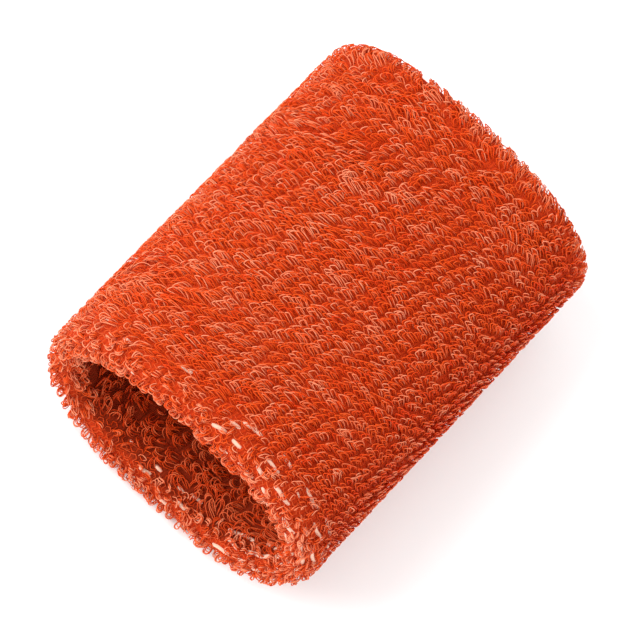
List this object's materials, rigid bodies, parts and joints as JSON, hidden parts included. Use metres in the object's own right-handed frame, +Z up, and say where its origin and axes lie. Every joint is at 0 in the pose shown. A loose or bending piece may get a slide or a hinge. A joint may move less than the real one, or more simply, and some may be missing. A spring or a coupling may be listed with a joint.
{
  "type": "sweat wristband",
  "caption": "Short double-walled terry tube worn round the wrist to take up sweat: knitted loops outside and inside, a rolled edge at each mouth, elastic laid in all the way round.",
  "frame": {"origin": "centre of the underside, on the surface that the band lies on", "axes": "+Y along the band's own axis, from the near mouth to the far one; +Z up, through the flattened oval's short side; +X across its long side"},
  "size_m": [0.06, 0.08, 0.0408],
  "materials": {
    "outer_terry": "orange-red cotton terry loops, matte with a faint fibre sheen",
    "inner_terry": "orange-red cotton terry loops, looser, matte",
    "seam_thread": "orange-red textured polyester thread",
    "elastic_yarn": "pale covered elastic, satin"
  },
  "bodies": {
    "root": {"outer_terry_layer": "outer_terry", "near_rolled_edge": "outer_terry", "far_rolled_edge": "outer_terry", "inner_terry_layer_near": "inner_terry", "inner_terry_layer_far": "inner_terry", "closing_seam_thread": "seam_thread", "outer_elastic_yarn": "elastic_yarn", "inner_elastic_yarn_near": "elastic_yarn", "inner_elastic_yarn_far": "elastic_yarn", "near_edge_elastic": "elastic_yarn", "far_edge_elastic": "elastic_yarn"}
  },
  "joints": []
}
